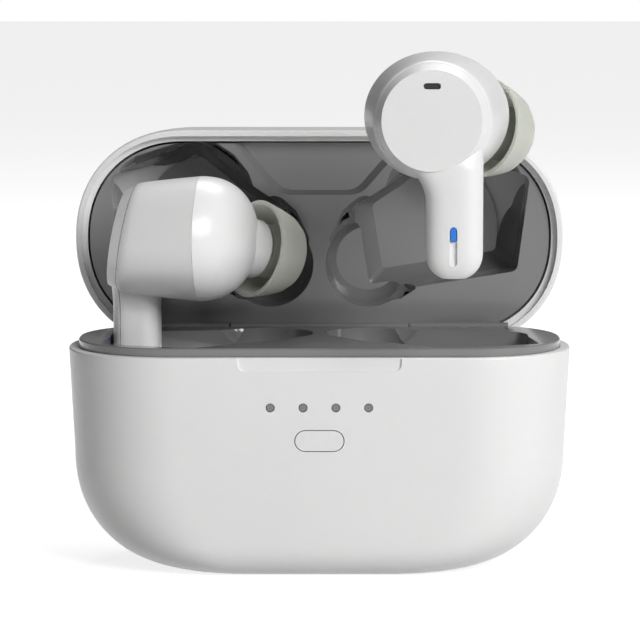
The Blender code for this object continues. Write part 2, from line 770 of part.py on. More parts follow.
def bud_solid():
    """The head in front of the dome's seam, joined to the stem, before it is split and hollowed."""
    head = loft([head_ring(d) for d in (0.0, BEVEL_DEPTH, 1.8, 4.0, 7.2, SEAM_Y - 0.08)])
    heights = [STEM_BOTTOM_Z + step for step in (0.0, 0.3, 0.9, 1.9, 3.2)]
    stem = loft([stem_ring(z) for z in heights + [CREASE_Z, -3.5]])
    return combine(head, [stem], "UNION")


def front_slab(thickness):
    """The space in front of the surface that parts the face cover from the housing."""
    y = -1.0 + thickness
    points = [(-6.0, -25.0), (y, -25.0), (y, CREASE_Z), (y + (12.0 - CREASE_Z) * FACE_LEAN, 12.0), (-6.0, 12.0)]
    return loft([[(x, py, pz) for py, pz in points] for x in (-14.0, 14.0)])


def make_face_cover():
    face_y = MIC_Z * FACE_LEAN
    mic_slot = pill(1.08, 0.38, face_y - 2.0, face_y + 3.0, 0.0, MIC_Z)
    groove = pill(2.4, 0.46, -2.0, -0.55, STEM_X, GROOVE_Z, upright=True)
    light_hole = pill(0.95, 0.43, -2.0, 1.5, STEM_X, LIGHT_Z, upright=True)
    cover = combine(bud_solid(), [front_slab(SPLIT)], "INTERSECT")
    return combine(cover, [mic_slot, groove, light_hole])


MIC_Z = 4.2
GROOVE_Z = -15.5
LIGHT_Z = -13.95


def make_bud_housing():
    hollow = loft([head_ring(d, SHELL) for d in (0.3, 1.75, 6.0, SEAM_Y + 0.5)])
    channel = [oval(2.45, 2.25, z, 24, 3.0, (STEM_X, 1.75)) for z in (STEM_BOTTOM_Z + 1.5, -3.0)]
    contacts = [rod(0.6, -22.0, -17.0, "Z", 12, (STEM_X + x, CONTACT_Y)) for x in (-PIN_OFFSET, PIN_OFFSET)]
    return combine(bud_solid(), [front_slab(SPLIT + 0.15), hollow, loft(channel)] + contacts)


def nozzle_matrix():
    turn = Matrix.Rotation(-NOZZLE_TURN, 4, "Z") @ Matrix.Rotation(-math.pi / 2 - NOZZLE_DROP, 4, "X")
    return Matrix.Translation((0.0, SEAM_Y, 0.0)) @ turn


def make_bud_dome():
    depths = [SEAM_Y + 0.08, 12.8, 14.6, 16.2, 17.4, 18.05]
    outer = loft([head_ring(d) for d in depths])
    inner = loft([head_ring(d, SHELL) for d in (SEAM_Y - 0.5, 12.8, 15.0, 16.7)])
    spout = [(3.9, 6.0), (3.9, 8.7), (3.5, 9.1), (2.6, 9.1), (2.6, 13.2), (2.35, 13.4)]
    spout = moved(turned(spout, 24), nozzle_matrix())
    bore = moved(turned([(1.75, 3.0), (1.75, 14.5)], 20), nozzle_matrix())
    return combine(combine(combine(outer, [inner]), [spout], "UNION"), [bore])


def make_ear_tip():
    """A soft mushroom: an inner sleeve over the nozzle and a skirt that turns back from its nose."""
    profile = [
        (2.75, TIP_START + 0.8), (2.75, 13.8), (2.1, 13.95), (2.2, TIP_END + 0.1), (3.3, TIP_END),
        (4.5, 13.95), (5.3, 12.8), (5.85, 11.2), (TIP_R, TIP_START), (TIP_R - 0.55, TIP_START),
        (5.0, 11.4), (4.4, 12.6), (3.6, 13.0), (3.45, TIP_START + 0.8),
    ]
    return turned(profile, 20, closed=True)


def mirrored(mesh, hand):
    if hand < 0:
        bmesh.ops.scale(mesh, vec=(-1, 1, 1), verts=mesh.verts)
        bmesh.ops.reverse_faces(mesh, faces=mesh.faces)
    return mesh


def make_bud_board():
    """A flat board down the stem, in front of the magnet."""
    return block((STEM_X - 1.9, 0.75, -17.4), (STEM_X + 1.9, 1.35, -7.0), 0.08)


def make_mic_mesh():
    y = MIC_Z * FACE_LEAN + 0.4
    return pill(0.98, 0.28, y, y + 0.45, 0.0, MIC_Z)


def add_earbud(word, hand, place, turn):
    """One earbud about its own frame. hand is 1 for the right earbud and -1 for its mirror image."""
    bud = empty(word + "_earbud", place, (0.0, 0.0, turn))
    pieces = {
        "face_cover": (make_face_cover(), white()),
        "housing": (make_bud_housing(), white()),
        "dome": (make_bud_dome(), white()),
        "mic_mesh": (make_mic_mesh(), dark()),
        "status_light": (pill(0.85, 0.33, -0.95, 0.45, STEM_X, LIGHT_Z, upright=True), blue_light()),
        "stem_board": (make_bud_board(), board()),
        "dock_magnet": (block((STEM_X - 1.7, 1.75, -16.6), (STEM_X + 1.7, 3.6, -12.0), 0.15), steel()),
        "button_cell": (lying(turned([(4.7, 0.0), (4.9, 0.3), (4.9, 4.0), (4.6, 4.3)], 24), 0.2, 3.0, 0.0, "Y"), steel()),
        "driver": (lying(turned([(5.4, 0.0), (5.4, 1.6), (3.2, 2.4)], 24), 0.3, 8.2, 0.0, "Y"), dark()),
        "nozzle_mesh": (moved(turned([(1.6, 12.4), (1.6, 12.9)], 20), nozzle_matrix()), steel()),
    }
    for shift, end in ((-PIN_OFFSET, "rear"), (PIN_OFFSET, "front")):
        contact = rod(0.45, STEM_BOTTOM_Z + 0.02, -18.0, "Z", 12, (STEM_X + shift, CONTACT_Y))
        pieces[end + "_contact"] = (contact, gold())
    for name, (mesh, finish) in pieces.items():
        make_object(word + "_bud_" + name, mirrored(mesh, hand), finish, bud)
    pivot = (0.0, SEAM_Y, 0.0)
    tip = empty(word + "_tip_travel", pivot, (-math.pi / 2 - NOZZLE_DROP, 0.0, -hand * NOZZLE_TURN), bud)
    make_object(word + "_ear_tip", make_ear_tip(), silicone(), tip)


def main():
    for thing in list(bpy.data.objects):
        bpy.data.objects.remove(thing)
    case = empty("case", (0.0, 0.0, 0.0))
    hinge = empty("lid_hinge", (0.0, HINGE_Y, HINGE_Z), (-LID_OPEN, 0.0, 0.0), case)
    add_case(case)
    add_lid(hinge)
    add_moving_small_pieces(case)
    add_earbud("left", -1, (-SEAT_X, SEAT_Y, SEAT_Z + LEFT_LIFT), -SEAT_TURN)
    add_earbud("right", 1, FLOAT_AT, FLOAT_TURN)


main()
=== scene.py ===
"""The look of the wireless earbuds case: fine surfaces, materials, light and camera around the CAD frame.

Lengths are in millimetres until add_piece turns them into metres, in the frame of the CAD model.
"""

import json
import math

import bmesh
import bpy
from mathutils import Matrix, Vector


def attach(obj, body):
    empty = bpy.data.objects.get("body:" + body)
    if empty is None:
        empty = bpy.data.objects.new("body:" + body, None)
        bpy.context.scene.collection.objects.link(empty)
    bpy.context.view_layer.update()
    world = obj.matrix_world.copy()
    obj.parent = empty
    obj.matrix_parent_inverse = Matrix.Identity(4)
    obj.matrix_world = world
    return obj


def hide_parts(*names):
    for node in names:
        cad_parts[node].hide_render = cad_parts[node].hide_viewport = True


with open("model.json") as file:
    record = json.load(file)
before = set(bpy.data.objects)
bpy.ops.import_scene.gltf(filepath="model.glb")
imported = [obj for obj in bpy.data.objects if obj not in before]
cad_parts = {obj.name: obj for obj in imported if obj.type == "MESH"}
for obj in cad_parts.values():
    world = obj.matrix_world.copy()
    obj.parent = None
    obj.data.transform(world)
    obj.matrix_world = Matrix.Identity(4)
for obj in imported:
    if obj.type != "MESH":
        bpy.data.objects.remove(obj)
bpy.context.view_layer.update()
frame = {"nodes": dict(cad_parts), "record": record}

MM = 0.001
GAP = 0.3  # clearance between pieces that move or meet

# Case
HALF_WIDTH = 33.0
HALF_DEPTH = 14.6
LEDGE_Z = 28.8
LID_HEIGHT = 17.2
SQUARENESS = 2.18  # exponent of the superellipse that rounds the case's corners
FRONT_CORNER = 15.0  # rounding seen from the front
BASE_FOOT_CORNER = 4.5  # rounding of the foot seen from the side
LID_CROWN_CORNER = 8.5  # rounding of the lid's top seen from the side
DRAFT_X = 0.7
DRAFT_Y = 0.5
WALL = 1.3
FLOOR = 1.6
LIP = 1.15  # width of the ledge outside the tray
RIM_Z = LEDGE_Z + GAP
LID_TOP_Z = RIM_Z + LID_HEIGHT
BASE_EDGE = 0.25
LID_EDGE = 0.2
EDGE_STEPS = 8
WALL_HEIGHTS = (18.0, 22.0, 26.0)  # rows along the base's straight wall
RIM_FLAT = 0.75  # width of the lid's rim outside the liner
RABBET = 1.25
FLANGE = 1.5
CORNER_STEPS = 24
PLAN_STEPS = 40

# Hinge
HINGE_Y = 12.75
HINGE_Z = LEDGE_Z + GAP / 2
BARREL_R = 1.3
PIN_R = 0.6
BORE_R = PIN_R + 0.15
BLIND = 0.8  # closed end of an outer knuckle's bore
KNUCKLE_X = 12.0
BARREL_X = 25.6
NOTCH_X = 25.9
NOTCH_DROP = 2.0
LID_OPEN = math.radians(90)

# Tray and liner
TRAY_INSET = LIP + 0.15
DECK_Z = LEDGE_Z + 1.1
DECK = 1.2
TRAY_REAR_Y = HINGE_Y - BARREL_R - 0.35
LINER_INSET = 1.8
LINER_Z = RIM_Z + 1.45
LINER_PLATE = 2.1
TUB_WALL = 0.8
OVERRUN = 0.5  # how far a pocket's cutter passes the surface it opens
RECESS_DEPTH = 1.4
CLOSING_ROOM = 0.4  # clearance the lid keeps to an earbud while it closes
CLOSING_SHARES = (0.34, 0.52, 0.68, 0.84, 1.0)  # how far the lid has closed at each step of the earbud's sweep that is cut from the liner

# Earbud, in its own frame: face at Y 0 looking along -Y, nozzle turned towards +X, +Z up
FACE_R = 6.2
FACE_BEVEL = 0.8
BEVEL_DEPTH = 1.45
FACE_LEAN = math.tan(math.radians(10))
SEAM_Y = 11.0
SEAM_GAP = 0.015  # on each side of the seam between housing and dome
COVER_GAP = 0.07  # between the face cover and the housing
DOME_END_Y = 18.2
HEAD_HALF_X = 8.95
HEAD_HALF_Z = 8.15
DOME_SHIFT_X = 2.2
SHELL = 1.1
STEM_X = 2.75
STEM_Y = 2.05
STEM_HALF_X = 3.55
STEM_HALF_Y = 3.05
STEM_BOTTOM_Z = -19.5
STEM_ROUND = 3.4
SPLIT = 1.3  # thickness of the face cover
NECK_START_Z = -10.2  # where the stem starts to widen into the head
NECK_FLARE = 2.4  # how much wider the stem is where it meets the head
NECK_CURVE = 2.2
STEM_BACK_OFF = 0.03  # keeps the stem's front just behind the leaning face
NOZZLE_TURN = math.radians(42)
NOZZLE_DROP = math.radians(12)
TIP_R = 6.5
TIP_START = 8.6
TIP_END = 14.5

# Places of the earbuds
SEAT_X = 26.4
SEAT_Y = -1.8
SEAT_Z = LEDGE_Z + 5.0
SEAT_TURN = math.radians(96)
LEFT_LIFT = 9.3
FLOAT_AT = (13.8, -27.3, LEDGE_Z + 31.0)
FLOAT_TURN = math.radians(-4)
STEM_OUT = SEAT_X - STEM_Y * math.cos(math.radians(6)) - 0.28
STEM_BACK = 0.72

# Front of the case
LED_XS = (-6.3, -2.1, 2.1, 6.3)
LED_R = 0.475
LED_Z = LEDGE_Z - 6.4
BUTTON_Z = LEDGE_Z - 10.7
BUTTON_HALF_X = 3.1
BUTTON_HALF_Z = 1.3
THUMB_HALF_X = 10.5
THUMB_HEIGHT = 1.65
THUMB_DEPTH = 0.3
USB_Z = 11.0
TIP_POCKET = (6.7, 3.6)
TIP_POCKET_R = 5.9
TIP_Z = SEAT_Z - 11.5 * math.sin(NOZZLE_DROP)
HEAD_FLOOR_Z = SEAT_Z - HEAD_HALF_Z - 0.6
TIP_FLOOR_Z = TIP_Z - TIP_R - 0.5
HEAD_ROOF_Z = SEAT_Z + HEAD_HALF_Z + 0.5
TIP_ROOF_Z = TIP_Z + TIP_R + 0.5
PIN_OFFSET = 1.2
CONTACT_Y = 2.5
PIN_HOLE_R = 0.65
CREASE_Z = -1.0 / FACE_LEAN
MIC_Z = 4.2
GROOVE_Z = -15.5
LIGHT_Z = -13.95


def bulge(t):
    """How far a unit superellipse reaches sideways at height t."""
    return max(0.0, 1.0 - min(abs(t), 1.0) ** SQUARENESS) ** (1.0 / SQUARENESS)


def plan(half_x, half_y, z, steps=PLAN_STEPS):
    """The case's outline at height z: straight front and back, rounded ends."""
    power = 2.0 / SQUARENESS
    points = []
    for end in (1, -1):
        for step in range(steps + 1):
            angle = math.pi * (step / steps - 0.5)
            out = max(math.cos(angle), 0.0) ** power
            along = math.copysign(abs(math.sin(angle)) ** power, math.sin(angle))
            points.append((end * (half_x - half_y * (1.0 - out)), end * half_y * along, z))
    return points


def rounded(corners, z, steps=10, scale=1.0, about=(0.0, 0.0)):
    """An outline through (x, y, radius) corners, each one rounded by a curve."""
    points = []
    count = len(corners)
    for index, (x, y, radius) in enumerate(corners):
        here = Vector((x, y))
        before = (Vector(corners[index - 1][:2]) - here).normalized()
        after = (Vector(corners[(index + 1) % count][:2]) - here).normalized()
        half_turn = before.angle(after) / 2
        reach = radius / math.tan(half_turn)
        for step in range(steps + 1):
            t = step / steps
            curve = here + before * reach * (1 - t) ** 2 + after * reach * t ** 2
            points.append((about[0] + (curve.x - about[0]) * scale,
                           about[1] + (curve.y - about[1]) * scale, z))
    return points


def oval(half_x, half_y, z, steps=72, power=2.0, centre=(0.0, 0.0)):
    """A superellipse at height z."""
    points = []
    for step in range(steps):
        angle = 2 * math.pi * step / steps
        x = math.copysign(abs(math.cos(angle)) ** (2 / power), math.cos(angle))
        y = math.copysign(abs(math.sin(angle)) ** (2 / power), math.sin(angle))
        points.append((centre[0] + half_x * x, centre[1] + half_y * y, z))
    return points


def loft(rings, closed=False):
    """Skins rings that have the same number of points. Open ends are capped."""
    mesh = bmesh.new()
    rows = [[mesh.verts.new(point) for point in ring] for ring in rings]
    count = len(rows[0])
    pairs = list(zip(rows, rows[1:]))
    if closed:
        pairs.append((rows[-1], rows[0]))
    for low, high in pairs:
        for index in range(count):
            after = (index + 1) % count
            mesh.faces.new((low[index], low[after], high[after], high[index]))
    if not closed:
        mesh.faces.new(rows[0])
        mesh.faces.new(rows[-1])
    bmesh.ops.recalc_face_normals(mesh, faces=mesh.faces)
    if mesh.calc_volume(signed=True) < 0:
        bmesh.ops.reverse_faces(mesh, faces=mesh.faces)
    return mesh


def turned(profile, steps=64, closed=False):
    """A body of (radius, z) points turned about Z."""
    return loft([oval(radius, radius, z, steps) for radius, z in profile], closed)


def block(low, high, bevel=0.0):
    """A box between two corners, with its edges bevelled."""
    mesh = bmesh.new()
    bmesh.ops.create_cube(mesh, size=1.0)
    for vert in mesh.verts:
        vert.co = Vector([low[i] + (vert.co[i] + 0.5) * (high[i] - low[i]) for i in range(3)])
    if bevel:
        bmesh.ops.bevel(mesh, geom=mesh.edges, offset=bevel, segments=2, profile=0.5, affect="EDGES")
    return mesh


def moved(mesh, matrix):
    """Transforms a mesh and returns it."""
    bmesh.ops.transform(mesh, matrix=matrix, verts=mesh.verts)
    return mesh


def lying(mesh, x, y, z, axis):
    """Turns a mesh made along Z to run along another axis, and moves it."""
    turns = {
        "X": Matrix.Rotation(math.pi / 2, 4, "Y"),
        "Y": Matrix.Rotation(-math.pi / 2, 4, "X"),
        "Z": Matrix.Identity(4),
    }
    return moved(mesh, Matrix.Translation((x, y, z)) @ turns[axis])


def rod(radius, start, end, axis, steps=48, across=(0.0, 0.0)):
    """A cylinder along an axis from start to end."""
    mesh = turned([(radius, 0.0), (radius, end - start)], steps)
    places = {"X": (start, *across), "Y": (across[0], start, across[1]), "Z": (*across, start)}
    return lying(mesh, *places[axis], axis)


def helper(mesh):
    """A mesh in millimetres as a hidden object that a Boolean can use."""
    data = bpy.data.meshes.new("helper")
    mesh.to_mesh(data)
    mesh.free()
    thing = bpy.data.objects.new("helper", data)
    bpy.context.scene.collection.objects.link(thing)
    thing.hide_render = True
    thing.display_type = "WIRE"
    return thing


def combine(mesh, others, operation="DIFFERENCE"):
    """Cuts, joins or intersects a mesh with others, and returns the result."""
    body = helper(mesh)
    for other in others:
        tool = helper(other)
        modifier = body.modifiers.new("Boolean", "BOOLEAN")
        modifier.operation = operation
        modifier.solver = "EXACT"
        modifier.object = tool
        graph = bpy.context.evaluated_depsgraph_get()
        data = bpy.data.meshes.new_from_object(body.evaluated_get(graph))
        body.modifiers.clear()
        body.data = data
        bpy.data.objects.remove(tool)
    result = bmesh.new()
    result.from_mesh(body.data)
    bpy.data.objects.remove(body)
    bmesh.ops.remove_doubles(result, verts=result.verts, dist=0.002)
    bmesh.ops.dissolve_degenerate(result, edges=result.edges, dist=0.002)
    return result


def base_halves(z):
    """Half width and half depth of the base's outside at height z."""
    up = min(z / FRONT_CORNER, 1.0)
    half_x = HALF_WIDTH - DRAFT_X - FRONT_CORNER * (1.0 - bulge(1.0 - up))
    half_x += DRAFT_X * max(0.0, (z - FRONT_CORNER) / (LEDGE_Z - FRONT_CORNER))
    up = min(z / BASE_FOOT_CORNER, 1.0)
    half_y = HALF_DEPTH - DRAFT_Y - BASE_FOOT_CORNER * (1.0 - bulge(1.0 - up))
    half_y += DRAFT_Y * max(0.0, (z - BASE_FOOT_CORNER) / (LEDGE_Z - BASE_FOOT_CORNER))
    return half_x, half_y


def lid_halves(z):
    """Half width and half depth of the closed lid's outside at height z."""
    down = LID_TOP_Z - z
    up = min(down / FRONT_CORNER, 1.0)
    half_x = HALF_WIDTH - FRONT_CORNER * (1.0 - bulge(1.0 - up))
    up = min(down / LID_CROWN_CORNER, 1.0)
    half_y = HALF_DEPTH - LID_CROWN_CORNER * (1.0 - bulge(1.0 - up))
    return half_x, half_y


def corner_heights(total, steps=CORNER_STEPS):
    """Heights that space points evenly round the big corner, then up the straight wall."""
    power = 2.0 / SQUARENESS
    heights = []
    for step in range(steps + 1):
        angle = 0.5 * math.pi * step / steps
        heights.append(FRONT_CORNER * (1.0 - math.cos(angle) ** power))
    if total > FRONT_CORNER + 1.0:
        heights.append(total)
    return heights


def base_ring(z, inset, lift=0.0):
    """The base's outline at height z, inset from the outside, and drawn higher by the lift."""
    half_x, half_y = base_halves(z)
    return plan(half_x - inset, half_y - inset, z + lift)


def lid_ring(z, inset, drop=0.0):
    """The closed lid's outline at height z, inset from the outside, and drawn lower by the drop."""
    half_x, half_y = lid_halves(z)
    return plan(half_x - inset, half_y - inset, z - drop)


def base_volume(inset, floor, top):
    """The solid inside the base's walls, from the floor up to a height."""
    heights = [z for z in corner_heights(LEDGE_Z) if z + floor < top - OVERRUN]
    rings = [base_ring(z, inset, floor) for z in heights]
    half_x, half_y = base_halves(LEDGE_Z)
    rings.append(plan(half_x - inset, half_y - inset, top))
    return loft(rings)


def lid_volume(inset, ceiling, bottom):
    """The solid inside the lid's walls, from a height up to the ceiling."""
    lowest = bottom + ceiling + GAP
    drops = [drop for drop in corner_heights(FRONT_CORNER) if LID_TOP_Z - drop > lowest]
    rings = [lid_ring(LID_TOP_Z - drop, inset, ceiling) for drop in drops]
    rings.append(lid_ring(RIM_Z, inset, RIM_Z - bottom))
    return loft(rings)


def pill_ring(half_x, half_z, x, z, upright=False, steps=16):
    """A slot outline in the XZ plane, lying or upright."""
    ring = []
    for end in (1, -1):
        for step in range(steps + 1):
            angle = math.pi * (step / steps - 0.5)
            along = end * (half_x - half_z + half_z * math.cos(angle))
            across = end * half_z * math.sin(angle)
            ring.append((x + across, z + along) if upright else (x + along, z + across))
    return ring


def pill(half_x, half_z, y_from, y_to, x=0.0, z=0.0, upright=False):
    """A flat slot shape with round ends, along Y."""
    ring = pill_ring(half_x, half_z, x, z, upright)
    return loft([[(px, y, pz) for px, pz in ring] for y in (y_from, y_to)])


def rounding(radius):
    """Steps round a rim's edge, as (distance short of the rim, inset from the wall)."""
    steps = []
    for step in range(EDGE_STEPS):
        angle = 0.5 * math.pi * step / (EDGE_STEPS - 1)
        steps.append((radius * (1.0 - math.sin(angle)), radius * (1.0 - math.cos(angle))))
    return steps


def make_base_shell():
    """The white base, with its light holes, button slot, charging port and hinge notch."""
    rings = [base_ring(z, 0.0) for z in corner_heights(LEDGE_Z)[:-1]]
    rings += [base_ring(z, 0.0) for z in WALL_HEIGHTS]
    rings += [base_ring(LEDGE_Z - short, inset) for short, inset in rounding(BASE_EDGE)]
    shell = loft(rings)
    cavity = base_volume(LIP, FLOOR, LEDGE_Z + 3.0)
    thumb = thumb_notch()
    wall_y = HALF_DEPTH - 4.0
    drills = [rod(LED_R + 0.1, -HALF_DEPTH - 1, -wall_y, "Y", 32, (x, LED_Z)) for x in LED_XS]
    button = pill(BUTTON_HALF_X + 0.12, BUTTON_HALF_Z + 0.12, -HALF_DEPTH - 1, -wall_y, 0.0, BUTTON_Z)
    port = pill(4.75, 1.9, wall_y, HALF_DEPTH + 1, 0.0, USB_Z)
    notch = block((-NOTCH_X, TRAY_REAR_Y, HINGE_Z - NOTCH_DROP), (NOTCH_X, HALF_DEPTH + 2, LEDGE_Z + 2))
    return combine(shell, [cavity, thumb, button, port, notch] + drills)


def thumb_notch():
    """The shallow step under the ledge that a thumb opens the lid by."""
    corners = [
        (-THUMB_HALF_X, 2.0, 0.1),
        (-THUMB_HALF_X, -THUMB_HEIGHT, 1.0),
        (THUMB_HALF_X, -THUMB_HEIGHT, 1.0),
        (THUMB_HALF_X, 2.0, 0.1),
    ]
    outline = rounded(corners, 0.0)
    depths = (-HALF_DEPTH - 1.0, -HALF_DEPTH + THUMB_DEPTH)
    return loft([[(px, y, LEDGE_Z + py) for px, py, _ in outline] for y in depths])


def tray_knuckles():
    """The two outer knuckles of the hinge, each on a web behind the tray's deck."""
    tools = []
    for side in (-1, 1):
        low, high = sorted((side * (KNUCKLE_X + GAP), side * BARREL_X))
        barrel = rod(BARREL_R, low, high, "X", 48, (HINGE_Y, HINGE_Z))
        web = block((low, TRAY_REAR_Y - 0.8, HINGE_Z - BARREL_R), (high, HINGE_Y - 0.2, LEDGE_Z))
        start = low + (BLIND if side < 0 else -1.0)
        end = high + (1.0 if side < 0 else -BLIND)
        bore = rod(BORE_R, start, end, "X", 32, (HINGE_Y, HINGE_Z))
        tools.append(combine(combine(barrel, [web], "UNION"), [bore]))
    return tools


def liner_knuckle():
    """The middle knuckle of the hinge, on a web below the liner's plate."""
    barrel = rod(BARREL_R, -KNUCKLE_X, KNUCKLE_X, "X", 48, (HINGE_Y, HINGE_Z))
    web = block((-KNUCKLE_X, HINGE_Y - 1.1, HINGE_Z), (KNUCKLE_X, HINGE_Y, LINER_Z + 1.5))
    bore = rod(BORE_R, -KNUCKLE_X - 1, KNUCKLE_X + 1, "X", 32, (HINGE_Y, HINGE_Z))
    return combine(combine(barrel, [web], "UNION"), [bore])


def from_hinge(mesh):
    """Moves a mesh made for the closed lid into the frame of the lid's hinge."""
    return moved(mesh, Matrix.Translation((0, -HINGE_Y, -HINGE_Z)))


def make_lid_shell():
    """The white lid as it lies when closed, with the step that its liner sits in."""
    rings = [lid_ring(LID_TOP_Z - drop, 0.0) for drop in corner_heights(FRONT_CORNER)]
    rings += [lid_ring(RIM_Z + short, inset) for short, inset in rounding(LID_EDGE)]
    shell = loft(rings)
    step = loft([
        lid_ring(RIM_Z, RIM_FLAT, 1.0),
        lid_ring(RIM_Z, RIM_FLAT),
        lid_ring(RIM_Z + RABBET, RIM_FLAT),
    ])
    cavity = lid_volume(FLANGE, WALL, RIM_Z - 1.0)
    socket = rod(BARREL_R + 0.2, -NOTCH_X, NOTCH_X, "X", 48, (HINGE_Y, HINGE_Z))
    return combine(shell, [step, cavity, socket])


def head_corners(side, grow=0.0):
    """Corners of the pocket that an earbud's head lies in, seen from above."""
    corners = [
        (28.6 + grow, -8.2 - grow, 1.3),
        (16.6, -13.1 - grow, 2.6),
        (9.6 - grow, -7.4 - grow, 3.2),
        (4.3 - grow, -3.9 - grow, 1.2),
        (6.2, 7.9 + grow, 1.0),
        (26.9 + grow, 4.6 + grow, 1.2),
    ]
    return [(side * x, y, radius) for x, y, radius in corners]


def pocket_tools(side, mouth_z, floor_z, tip_floor_z, grow=0.0):
    """The head pocket and the round ear tip pocket as two tapering solids."""
    about = (side * 17.0, -2.5)
    depth = floor_z - mouth_z
    head = [rounded(head_corners(side, grow), mouth_z - math.copysign(OVERRUN, depth), 10, 1.0, about)]
    for share, scale in ((0.5, 0.98), (0.85, 0.88), (1.0, 0.76)):
        head.append(rounded(head_corners(side, grow), mouth_z + depth * share, 10, scale, about))
    centre = (side * TIP_POCKET[0], TIP_POCKET[1])
    tip_depth = tip_floor_z - mouth_z
    radius = TIP_POCKET_R + grow
    tip = [oval(radius, radius, mouth_z - math.copysign(OVERRUN, depth), 72, 2.0, centre)]
    for share, scale in ((0.6, 0.97), (0.88, 0.87), (1.0, 0.74)):
        tip.append(oval(radius * scale, radius * scale, mouth_z + tip_depth * share, 72, 2.0, centre))
    return [loft(head), loft(tip)]


def stem_well(side, grow=0.0, top=DECK_Z + 1.0):
    """The deep slot that the stem stands in."""
    half_x = STEM_HALF_Y + 0.45 + grow
    half_y = STEM_HALF_X + 0.45 + grow
    floor = SEAT_Z + STEM_BOTTOM_Z - 0.5 - grow
    centre = (side * STEM_OUT, STEM_BACK)
    rings = [oval(half_x - 0.6, half_y - 0.6, floor, 64, 3.0, centre)]
    rings.append(oval(half_x, half_y, floor + 1.5, 64, 3.0, centre))
    rings.append(oval(half_x, half_y, top, 64, 3.0, centre))
    return loft(rings)


def seat_matrix(side, lift=0.0):
    """Where an earbud's frame is when it sits in the case, in millimetres."""
    place = Matrix.Translation((side * SEAT_X, SEAT_Y, SEAT_Z + lift))
    return place @ Matrix.Rotation(side * SEAT_TURN, 4, "Z")


def contact_places(side):
    """The two charging contacts of a seated earbud, seen from above."""
    places = []
    for shift in (-PIN_OFFSET, PIN_OFFSET):
        point = seat_matrix(side) @ Vector((side * (STEM_X + shift), CONTACT_Y, STEM_BOTTOM_Z))
        places.append((point.x, point.y))
    return places


def head_halves(depth):
    """Half width, half height and sideways shift of the head's section at a depth."""
    if depth <= BEVEL_DEPTH:
        half = FACE_R + FACE_BEVEL * depth / BEVEL_DEPTH
        return half, half, 0.0
    start = FACE_R + FACE_BEVEL + 0.15
    share = min((depth - BEVEL_DEPTH) / (SEAM_Y - BEVEL_DEPTH), 1.0) ** 0.8
    half_x = start + (HEAD_HALF_X - start) * share
    half_z = start + (HEAD_HALF_Z - start) * share
    into_dome = max(0.0, (depth - SEAM_Y) / (DOME_END_Y - SEAM_Y))
    shrink = bulge(into_dome)
    return half_x * shrink, half_z * shrink, DOME_SHIFT_X * into_dome


def head_ring(depth, inset=0.0, steps=96):
    """A section of the head at a depth behind the face, leaning like the face near the front."""
    half_x, half_z, shift = head_halves(depth)
    lean = FACE_LEAN * max(0.0, 1.0 - depth / SEAM_Y)
    ring = []
    for step in range(steps):
        angle = 2 * math.pi * step / steps
        z = (half_z - inset) * math.sin(angle)
        ring.append((shift + (half_x - inset) * math.cos(angle), depth + z * lean, z))
    return ring


def nozzle_matrix():
    """The frame of the nozzle in the earbud: its +Z runs out along the nozzle."""
    turn = Matrix.Rotation(-NOZZLE_TURN, 4, "Z") @ Matrix.Rotation(-math.pi / 2 - NOZZLE_DROP, 4, "X")
    return Matrix.Translation((0.0, SEAM_Y, 0.0)) @ turn


def bud_envelope():
    """Points of one earbud with its tip, grown by the clearance it needs, in the earbud's own frame."""
    head = [point for depth in (0.0, BEVEL_DEPTH, 6.0, SEAM_Y, 13.4, 15.4, 17.0, DOME_END_Y - 0.1)
            for point in head_ring(depth, -CLOSING_ROOM, 40)]
    rim = TIP_R + CLOSING_ROOM
    tip = []
    for radius, z in ((rim, TIP_START - 0.3), (rim - 0.2, 10.6), (5.0, 13.9), (3.4, TIP_END + 0.35)):
        tip += [nozzle_matrix() @ Vector(point) for point in oval(radius, radius, z, 40)]
    return head, tip


def hull(points):
    """The convex solid round a set of points."""
    mesh = bmesh.new()
    for point in points:
        mesh.verts.new(point)
    made = bmesh.ops.convex_hull(mesh, input=mesh.verts)
    bmesh.ops.delete(mesh, geom=made["geom_interior"], context="VERTS")
    return mesh


def entry_tools(side):
    """The space that an earbud needs to drop straight into the tray."""
    tools = []
    for points in bud_envelope():
        poses = [seat_matrix(side, lift) for lift in (0.0, LEFT_LIFT)]
        tools.append(hull([pose @ Vector((side * x, y, z)) for pose in poses for x, y, z in points]))
    return tools


def make_base_tray():
    """The grey tray: its deck, the pockets and stem wells of both earbuds, and the outer knuckles."""
    deck = loft([
        base_ring(LEDGE_Z, TRAY_INSET, DECK_Z - DECK - LEDGE_Z),
        base_ring(LEDGE_Z, TRAY_INSET, DECK_Z - 0.15 - LEDGE_Z),
        base_ring(LEDGE_Z, TRAY_INSET + 0.15, DECK_Z - LEDGE_Z),
    ])
    limits = base_volume(LIP + 0.3, FLOOR + 0.4, DECK_Z - 0.2)
    tubs = []
    hollows = []
    for side in (-1, 1):
        tub = pocket_tools(side, DECK_Z - 0.3, HEAD_FLOOR_Z - TUB_WALL, TIP_FLOOR_Z - TUB_WALL, TUB_WALL)
        tubs += tub + [stem_well(side, TUB_WALL, DECK_Z - 0.4)]
        hollows += pocket_tools(side, DECK_Z, HEAD_FLOOR_Z, TIP_FLOOR_Z) + entry_tools(side)
        hollows.append(stem_well(side))
        hollows += [rod(PIN_HOLE_R, 9.0, 16.0, "Z", 12, place) for place in contact_places(side)]
        heights = (DECK_Z - 0.35, DECK_Z + 1)
        hollows.append(loft([oval(0.85, 0.55, z, 16, 2.0, (side * 19.8, 9.6)) for z in heights]))
    rear = block((-NOTCH_X, TRAY_REAR_Y, 20.0), (NOTCH_X, 20.0, 40.0))
    walls = combine(tubs[0], tubs[1:], "UNION")
    walls = combine(walls, [limits], "INTERSECT")
    tray = combine(combine(deck, [walls], "UNION"), hollows + [rear])
    return combine(tray, tray_knuckles(), "UNION")


